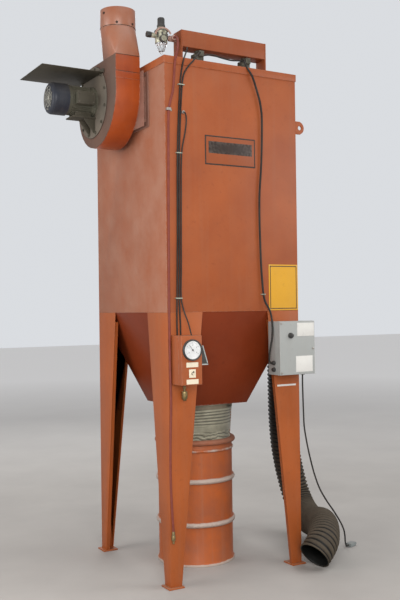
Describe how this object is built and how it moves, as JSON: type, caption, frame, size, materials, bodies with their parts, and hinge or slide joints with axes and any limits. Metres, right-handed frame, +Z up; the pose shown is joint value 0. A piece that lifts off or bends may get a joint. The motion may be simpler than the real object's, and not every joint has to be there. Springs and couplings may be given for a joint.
{
  "type": "cabinet cartridge dust collector",
  "caption": "Orange cabinet dust collector on folded legs, with side fan and motor, air header, hopper, cloth boot, dust drum, control boxes and ribbed inlet hose.",
  "frame": {"origin": "on the floor, at the middle of the four foot plates", "axes": "+X to the right of the front (the face with the control boxes), +Y to the back, +Z up"},
  "size_m": [2.046, 1.2782, 3.355],
  "materials": {
    "cabinet_paint": "satin",
    "drum_paint": "satin",
    "motor_paint": "matte",
    "cover_paint": "satin",
    "dusty_steel": "matte",
    "worn_steel": "worn",
    "valve_metal": "matte",
    "brass_fitting": "dull",
    "grey_paint": "satin",
    "label_metal": "satin",
    "gauge_face": "gloss",
    "clear_plastic": "gloss",
    "yellow_sign": "satin",
    "dark_sign": "satin",
    "black_plastic": "matte",
    "grey_plastic": "matte",
    "boot_fabric": "coated cloth",
    "hose_rubber": "ribbed",
    "red_rubber": "matte",
    "black_rubber": "matte"
  },
  "bodies": {
    "root": {"front_panel": "cabinet_paint", "back_panel": "cabinet_paint", "left_panel": "cabinet_paint", "right_panel": "cabinet_paint", "top_lid": "cabinet_paint", "hopper_shell": "cabinet_paint", "hopper_outlet": "cabinet_paint", "leg_front_left": "cabinet_paint", "leg_front_right": "cabinet_paint", "leg_back_left": "cabinet_paint", "leg_back_right": "cabinet_paint", "foot_plates": "cabinet_paint", "lifting_lugs": "cabinet_paint", "fabric_boot": "boot_fabric", "boot_strap": "worn_steel", "drum_shell": "drum_paint", "drum_ring": "cabinet_paint", "fan_inlet_box": "cabinet_paint", "fan_inner_plate": "cabinet_paint", "fan_scroll_band": "cabinet_paint", "fan_outer_plate": "cabinet_paint", "fan_neck": "cabinet_paint", "exhaust_collar": "cabinet_paint", "motor_plate": "dusty_steel", "motor_body": "motor_paint", "motor_fan_cover": "cover_paint", "motor_box": "motor_paint", "motor_bracket": "dusty_steel", "motor_shield": "dusty_steel", "air_header": "cabinet_paint", "header_posts": "cabinet_paint", "pulse_valve_left": "valve_metal", "pulse_valve_right": "valve_metal", "supply_pipe": "worn_steel", "regulator": "valve_metal", "regulator_knob": "black_plastic", "filter_bowl": "clear_plastic", "control_box": "cabinet_paint", "control_cover": "cabinet_paint", "control_plates": "label_metal", "side_socket": "black_plastic", "pressure_gauge": "gauge_face", "pressure_tap": "brass_fitting", "clean_air_tap": "brass_fitting", "starter_box": "grey_paint", "starter_lid": "grey_paint", "starter_fittings": "black_plastic", "sign_plate": "yellow_sign", "name_plate": "dark_sign", "leg_label": "label_metal", "inlet_collar": "cabinet_paint", "inlet_hose": "hose_rubber", "air_hose": "red_rubber", "hose_coupler": "brass_fitting", "air_tube_left": "black_rubber", "air_tube_right": "black_rubber", "gauge_tube": "black_rubber", "valve_cable": "black_rubber", "starter_cable": "black_rubber", "starter_plug": "grey_plastic"}
  },
  "joints": []
}
